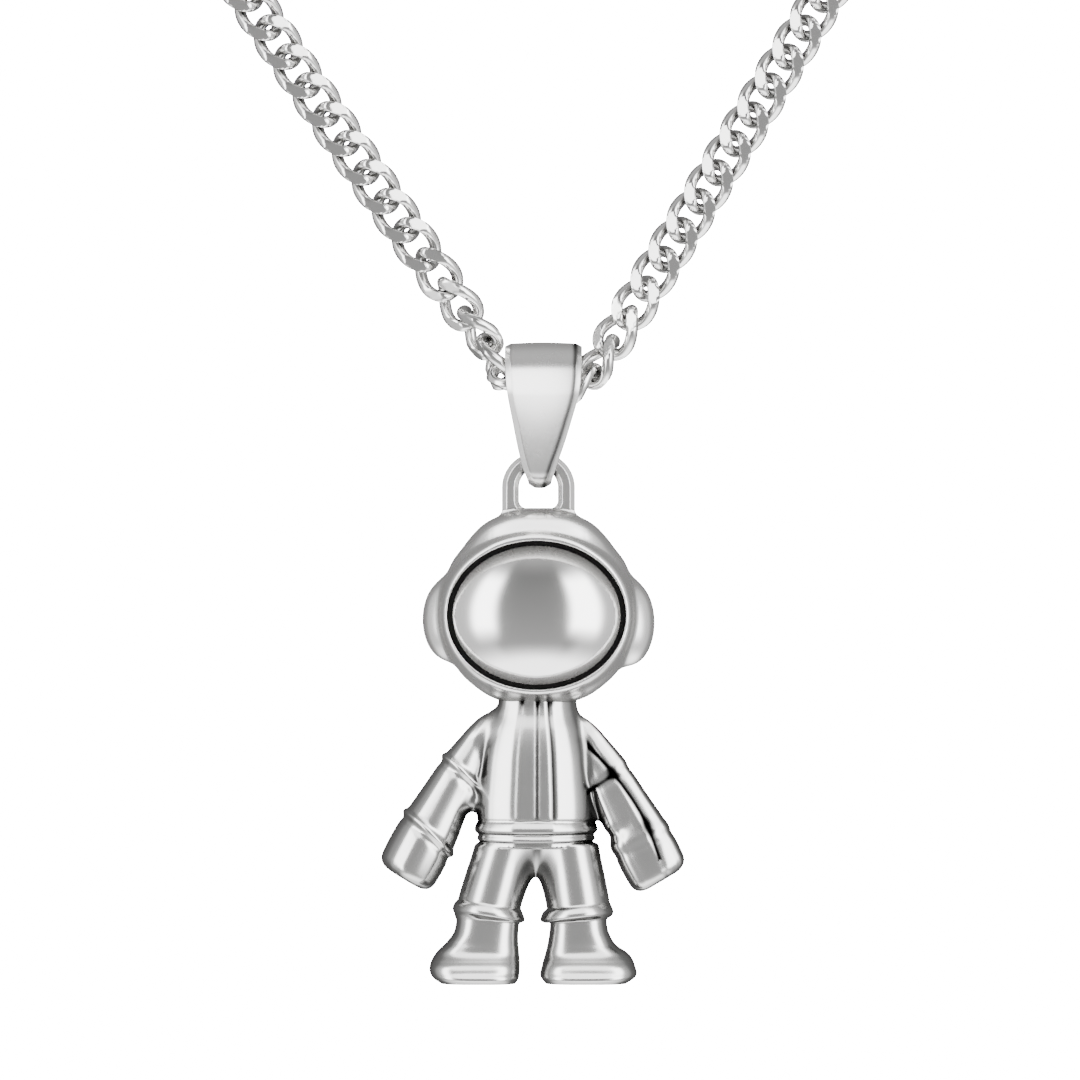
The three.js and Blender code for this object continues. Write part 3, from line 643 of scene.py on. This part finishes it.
# Each cuff's middle, height, half width and tilt.
CUFFS = [(-3.28, 4.62, 1.93, 0.15), (2.36, 4.52, 1.96, -0.1)]
LEG_WIDTHS = [(-1.5, 1.6), (0.0, 1.85), (1.6, 1.9), (3.2, 1.98), (4.8, 2.0), (6.2, 1.9)]


def limb_frame(x, z, origin, toward):
    """Distance along a limb, and distance across it to the picture's right."""
    dx, dz = x - origin[0], z - origin[1]
    return dx * toward[0] + dz * toward[1], -dx * toward[1] + dz * toward[0]


def rounded_limit(solid, excess, radius):
    """The part of a solid where excess is negative, with a rounded edge."""
    return -smooth_union(-solid, -excess, radius)


def torso_field(x, y, z):
    across = x - TORSO_X
    radius = smooth_profile(TORSO_WIDTHS, z)
    share = across / radius
    seams = sum(ridge((share - at) * radius, depth, 0.19) for at, depth in TORSO_SEAMS)
    fades = np.clip((z - 10.2) / 0.5, 0, 1) * (y < 0)
    return section_field(across, y, radius, TORSO_SECTION) * 0.75 + seams * fades


def raised_roll(out, lifted, reach, half_height):
    """A roll around a limb: its broad face looks outwards and a little up."""
    facing = out * math.cos(ROLL_TILT) + lifted * math.sin(ROLL_TILT)
    along_face = lifted * math.cos(ROLL_TILT) - out * math.sin(ROLL_TILT)
    return (superellipse(facing / reach, along_face / half_height, ROLL_SQUARENESS) - 1) * reach


def belt_field(x, y, z):
    """A thick roll above a thin one, around a waist, all following the torso's section."""
    across = x - BELT_X
    sag = 0.12 * (1 - (across / 4) ** 2)
    out = section_field(across, y, BELT_REACH, TORSO_SECTION)
    thick = raised_roll(out, z - THICK_ROLL[0] + 0.4 * sag, *THICK_ROLL[1:])
    thin = raised_roll(out, z - THIN_ROLL[0] + sag, *THIN_ROLL[1:])
    waist = np.maximum(out - 0.14, np.abs(z - 9.6) - 0.9)
    return np.minimum(smooth_union(thick, thin, 0.15), waist)


def arm_place(x, z, side):
    """Distance along an arm, and distance across it towards the body."""
    arm = ARMS[side]
    along, across = limb_frame(x, z, arm["shoulder"], arm["toward"])
    return along, -across * arm["outside"]


def joints_on_arm(along):
    """Strongest at the right arm's elbow and wrist, where the crease widens."""
    return np.exp(-((along - 2.9) / 0.4) ** 2) + np.exp(-((along - 6.9) / 0.5) ** 2)


def arm_field(x, y, z, side):
    along, inward = arm_place(x, z, side)
    radius = smooth_profile(ARM_WIDTHS, along)
    solid = section_field(-inward, y, radius, ARM_SECTIONS[side], 0.9) * 0.85
    bend = 0.14 * inward ** 2
    if side == "left":
        elbow = along - 2.55 - 0.24 * inward - bend * 0.3
        wrist = along - 6.95 - 0.26 * inward - bend * 0.25
        raised = ridge(elbow, 0.14, 0.23) + ridge(wrist, 0.15, 0.23)
        sunk = ridge(elbow - 0.42, 0.05, 0.25) + ridge(wrist - 0.42, 0.05, 0.25)
    else:
        elbow = along - 2.7 - 0.1 * inward
        wrist = along - 7.3 + 0.05 * inward
        front = (y < 0) * np.clip(along / 1.5, 0, 1)
        raised = ridge(elbow, 0.04, 0.4) + ridge(wrist, 0.05, 0.4)
        sunk = (ridge(elbow - 0.5, 0.04, 0.35) + ridge(wrist - 0.55, 0.04, 0.35)
                + ridge(along - 6.4, 0.16, 0.45) * np.clip(inward, 0, 1)
                + ridge(inward + smooth_profile(CREASE, along), 0.05, 0.25) * front)
    solid = solid - raised + sunk
    ends = np.maximum(along - ARM_END - 0.06 * inward, ARM_START - along)
    return rounded_limit(solid, ends, 0.8)


def leg_field(x, y, z, side):
    leg = LEGS[side]
    along, across = limb_frame(x, z, leg["hip"], leg["toward"])
    radius = smooth_profile(LEG_WIDTHS, along)
    solid = np.hypot(across, y / 1.08) - radius
    return rounded_limit(solid, np.maximum(4.2 - z, z - 8.98), 0.3)


def cuff_field(x, y, z, centre, middle_z, half_width, tilt):
    lifted = z - middle_z + tilt * (x - centre) + 0.02 * (x - centre) ** 2
    out = np.hypot(x - centre, y / 1.06)
    return raised_roll(out - half_width, lifted, 0.34, 0.4)


# Each boot's inner and outer side at heights above the sole, counted outwards from X = 0.
BOOTS = {
    "left": (-1, [(0, 1.55, 6.3), (0.35, 1.35, 6.8), (0.72, 1.3, 7.02), (1.36, 1.28, 6.97), (2.0, 1.33, 6.59),
                  (2.64, 1.38, 5.95), (3.17, 1.38, 5.55), (3.81, 1.33, 5.37), (4.9, 1.2, 5.4)]),
    "right": (1, [(0, 0.35, 5.5), (0.4, 0.05, 6.06), (1.15, 0.12, 6.06), (1.9, 0.33, 5.63),
                  (2.42, 0.46, 4.89), (3.06, 0.57, 4.47), (3.81, 0.64, 4.27), (4.9, 0.5, 4.4)]),
}
# How far the front of a boot reaches, at the same kind of heights.
BOOT_FRONT = [(0, 2.75), (0.25, 2.98), (0.7, 2.84), (1.1, 2.71), (1.45, 2.45), (1.8, 2.2), (2.4, 2.05),
              (3.2, 1.97), (4.9, 1.93)]
HEEL_Y = 1.9
BOOT_TOP = 4.7
BOOT_SQUARENESS = 2.8


def boot_field(x, y, z, side):
    sign, sides = BOOTS[side]
    inner = smooth_profile([(row[0], row[1]) for row in sides], z)
    outer = smooth_profile([(row[0], row[2]) for row in sides], z)
    front = smooth_profile(BOOT_FRONT, z)
    half_width, half_depth = (outer - inner) / 2, (front + HEEL_Y) / 2
    across = (x * sign - (outer + inner) / 2) / half_width
    around = superellipse(across, (y + (front - HEEL_Y) / 2) / half_depth, BOOT_SQUARENESS)
    return rounded_limit((around - 1) * half_depth, z - BOOT_TOP, 0.3)


def suit_field(x, y, z):
    solid = torso_field(x, y, z)
    solid = rounded_limit(solid, np.maximum(z - 18.3, 10.28 - z), 0.3)
    legs = smooth_union(leg_field(x, y, z, "left"), leg_field(x, y, z, "right"), 2.0)
    solid = smooth_union(solid, legs, 0.4)
    solid = smooth_union(solid, belt_field(x, y, z), 0.12)
    solid = smooth_union(solid, arm_field(x, y, z, "left"), smooth_profile(SHOULDER_BLEND, z))
    solid = smooth_union(solid, arm_field(x, y, z, "right"), 0.4)
    for side in ("left", "right"):
        solid = smooth_union(solid, boot_field(x, y, z, side), 0.2)
    left_cuff, right_cuff = (cuff_field(x, y, z, *cuff) for cuff in CUFFS)
    solid = smooth_union(solid, np.minimum(left_cuff, right_cuff), 0.15)
    return np.maximum(solid, -z)


# The broad shades in armpits, flanks, crotch and belt never get darker than this together.
BROAD_SHADE_LIMIT = 0.55


def suit_painted_shade(x, y, z):
    """Painted shade: how much darker the suit's colour is painted in its seams, chin notches, arm crease and
    elbow, armpits, flanks, crotch and belt.
    """
    front = y < 0
    torso = (x - TORSO_X) / smooth_profile(TORSO_WIDTHS, z)
    above_belt = np.clip((z - 10.2) / 0.4, 0, 1) * front
    dark = sum(ridge((torso - at) * 3.7, strength, 0.17) for at, strength in SEAM_SHADE) * above_belt
    notches = sum(np.exp(-((x - at) / 0.2) ** 2) for at in CHIN_NOTCHES)
    dark = dark + 0.9 * notches * np.exp(-((z - 18.0) / 0.35) ** 2) * front
    along, inward = arm_place(x, z, "right")
    crease = np.exp(-((inward + smooth_profile(CREASE, along)) / (0.17 + 0.25 * joints_on_arm(along))) ** 2)
    on_arm = front * (x > 3.0) * (along > -0.6) * (along < 9.2) * (inward < 1.8)
    elbow = np.exp(-((along - 3.05 - 0.1 * inward) / 0.14) ** 2) * (inward > -0.4)
    dark = dark + (1.05 * crease + 0.85 * elbow) * on_arm
    body = torso_field(x, y, z)
    arms = np.minimum(arm_field(x, y, z, "left"), arm_field(x, y, z, "right"))
    armpit = np.exp(-((arms - body) / 0.45) ** 2) * np.clip((16 - z) / 2, 0, 1) * (z > 9)
    sides = np.maximum(np.clip((torso - 0.66) / 0.14, 0, 1), np.clip((-0.84 - torso) / 0.1, 0, 1))
    sides = sides * np.exp(-(np.maximum(body, 0) / 0.3) ** 2) * (z > 10) * np.clip((17 - z) / 1.5, 0, 1)
    crotch = np.exp(-((x - CROTCH_X) / 0.9) ** 2) * np.clip((9.1 - z) / 0.6, 0, 1) * (z > 5.3) * front
    belt = np.exp(-((z - 9.63) / 0.13) ** 2) + np.exp(-((z - 9.0) / 0.12) ** 2)
    belt = belt * (np.abs(x - BELT_X) < 4.2)
    return dark + np.minimum(0.5 * armpit + 0.5 * sides + 0.5 * crotch + 0.5 * belt, BROAD_SHADE_LIMIT)


# ---------------------------------------------------------------- building

CAST_PITCH = 0.1
FINE_PITCH = 0.06


def add_casting(name, field, low, high, pitch, material, body, slot, node, painted_shade=None):
    points, faces = skin(field, low, high, pitch)
    slope = slope_at(field, points, 0.03)
    normals = slope / np.linalg.norm(slope, axis=1)[:, None]
    obj = new_object(name, points, faces, material, normals=normals)
    # Painted shade per point, which the material multiplies into the colour.
    if painted_shade:
        layer = obj.data.attributes.new("painted_shade", "FLOAT", "POINT")
        layer.data.foreach_set("value", np.clip(painted_shade(*points.T), 0.0, 1.0))
    return stand_for(obj, body, slot, node)


add_chain()
# The bail's colour carries a painted shade line inside each bevel.
add_casting("bail_band", bail_field, (-3, -3.2, 31.2), (3.2, 3.2, 41.2), FINE_PITCH, BAIL_STEEL,
            "bail", "polished_chain", "bail", bail_painted_shade)
add_casting("bevelled_loop", loop_field, (-2.7, -0.8, 29.0), (2.6, 0.8, 34.2), FINE_PITCH, HELMET_STEEL,
            "figure", "casting", "suspension_loop")
add_casting("helmet_polished", helmet_field, (-8.0, -4.6, 17.3), (7.8, 4.2, 30.8), CAST_PITCH, HELMET_STEEL,
            "figure", "casting", "helmet_casting")
add_dome()
add_seat_ring()
# The suit's colour carries painted shade in its seams, creases and folds.
add_casting("suit_polished", suit_field, (-10.6, -4.2, -0.3), (9.8, 3.2, 19.2), CAST_PITCH, SUIT_STEEL,
            "figure", "casting", "suit_casting", suit_painted_shade)

CAD_SHAPED = ("left_jump_ring", "right_end_ring", "clasp_body", "clasp_lever", "clasp_lever_pin",
              "clasp_spring")
for node in CAD_SHAPED:
    frame["nodes"][node].data.materials.clear()
    frame["nodes"][node].data.materials.append(CHAIN_STEEL)


# ---------------------------------------------------------------- studio

# Bright enough to come out as pure white.
BACKDROP_WHITE = 24.0
# The studio's brightness in stops where no white box stands.
DIM_STUDIO = -1.5


def studio_world():
    """A white studio whose light depends only on direction: grey before the camera, white boxes beside it."""
    world = bpy.data.worlds.new("studio")
    world.use_nodes = True
    bpy.context.scene.world = world
    tree = world.node_tree
    tree.nodes.clear()
    links = tree.links

    def math_node(operation, *values):
        node = tree.nodes.new("ShaderNodeMath")
        node.operation = operation
        for socket, value in zip(node.inputs, values):
            if isinstance(value, (int, float)):
                socket.default_value = value
            else:
                links.new(value, socket)
        return node.outputs[0]

    def ramp(value, start, end):
        node = tree.nodes.new("ShaderNodeMapRange")
        node.interpolation_type = "SMOOTHSTEP"
        links.new(value, node.inputs["Value"])
        node.inputs["From Min"].default_value = start
        node.inputs["From Max"].default_value = end
        return node.outputs["Result"]

    def blend(under, over, share):
        return math_node("ADD", math_node("MULTIPLY", under, math_node("SUBTRACT", 1.0, share)),
                         math_node("MULTIPLY", over, share))

    place = tree.nodes.new("ShaderNodeTexCoord")
    split = tree.nodes.new("ShaderNodeSeparateXYZ")
    links.new(place.outputs["Generated"], split.inputs[0])
    x, y, z = split.outputs
    to_front = math_node("MULTIPLY", y, -1.0)
    azimuth = math_node("MULTIPLY", math_node("ARCTAN2", x, to_front), 180 / math.pi)
    elevation = math_node("MULTIPLY", math_node("ARCSINE", z), 180 / math.pi)

    def between(value, start, end, soft):
        return math_node("MULTIPLY", ramp(value, start - soft, start + soft),
                         math_node("SUBTRACT", 1.0, ramp(value, end - soft, end + soft)))

    # Brightness is worked out in stops, so that each change from dark to light looks even.
    sides = math_node("ADD", between(azimuth, 40, 104, 10), between(azimuth, -104, -40, 10))
    light = blend(DIM_STUDIO, -0.2, sides)
    front_light = math_node("SUBTRACT", DIM_STUDIO, math_node("MULTIPLY", elevation, 0.01))
    light = blend(light, front_light, between(azimuth, -37, 30, 6))
    boxes = math_node("ADD", between(azimuth, 30, 63, 6), between(azimuth, -63, -37, 6))
    light = blend(light, 2.8, math_node("MULTIPLY", boxes, between(elevation, -25, 52, 14)))
    light = blend(light, 1.9, math_node("SUBTRACT", 1.0, ramp(elevation, -62, -34)))
    light = blend(light, -0.8, ramp(elevation, 46, 80))
    light = math_node("POWER", 2.0, light)

    background = tree.nodes.new("ShaderNodeBackground")
    background.inputs["Color"].default_value = (1, 1, 1, 1)
    links.new(light, background.inputs["Strength"])
    white = tree.nodes.new("ShaderNodeBackground")
    white.inputs["Color"].default_value = (1, 1, 1, 1)
    white.inputs["Strength"].default_value = BACKDROP_WHITE
    path = tree.nodes.new("ShaderNodeLightPath")
    mix = tree.nodes.new("ShaderNodeMixShader")
    output = tree.nodes.new("ShaderNodeOutputWorld")
    links.new(path.outputs["Is Camera Ray"], mix.inputs[0])
    links.new(background.outputs[0], mix.inputs[1])
    links.new(white.outputs[0], mix.inputs[2])
    links.new(mix.outputs[0], output.inputs["Surface"])


def card(name, place, aim, size, radiance, receivers):
    """A white card that only the given pieces reflect, like a small reflector held close to them."""
    light = bpy.data.lights.new(name, "AREA")
    light.shape = "RECTANGLE"
    light.size, light.size_y = size[0] * MM, size[1] * MM
    light.energy = radiance * math.pi * light.size * light.size_y
    obj = bpy.data.objects.new(name, light)
    obj.location = Vector(place) * MM
    obj.rotation_euler = (Vector(place) - Vector(aim)).to_track_quat("Z", "Y").to_euler()
    obj.visible_camera = False
    bpy.context.scene.collection.objects.link(obj)
    group = bpy.data.collections.new(f"{name}_receivers")
    for receiver in receivers:
        group.objects.link(receiver)
    obj.light_linking.receiver_collection = group


studio_world()
chain_pieces = [obj for obj in bpy.data.objects if obj.name.endswith("_cut")]
right_pieces = [obj for obj in chain_pieces if obj.name.startswith("right")]
left_pieces = [obj for obj in chain_pieces if obj not in right_pieces]
bail_pieces = [bpy.data.objects["bail_band"]]
helmet_pieces = [bpy.data.objects["helmet_polished"]]
suit_pieces = [bpy.data.objects["suit_polished"]]
card("left_chain_card", (260, -640, 130), (0, 0, -10), (340, 340), 5.0, left_pieces)
card("right_chain_card", (-200, -660, 130), (0, 0, -10), (400, 400), 5.0, right_pieces)
card("bail_card", (-2.5, -14, -23.8), (-2.5, 0, -23.8), (12, 21), 4.8, bail_pieces)
card("crown_card", (0, -150, 380), (0, 0, -40), (600, 420), 3.5, helmet_pieces)
card("suit_card", (0, -265, 250), (0, 0, -50), (420, 300), 3.2, suit_pieces)

# The view takes in a square of this width, from a long lens straight in front of the figure.
VIEW_WIDTH = 68.9
VIEW_MIDDLE_Z = 28.26
LENS = 300.0
SENSOR = 36.0

camera_data = bpy.data.cameras.new("camera")
camera_data.lens = LENS
camera_data.sensor_width = SENSOR
camera = bpy.data.objects.new("camera", camera_data)
camera.location = (0.0, -VIEW_WIDTH * MM * LENS / SENSOR, (VIEW_MIDDLE_Z - HELD_HEIGHT) * MM)
camera.rotation_euler = (math.pi / 2, 0.0, 0.0)
camera_data.clip_start = 0.01
bpy.context.scene.collection.objects.link(camera)
bpy.context.scene.camera = camera
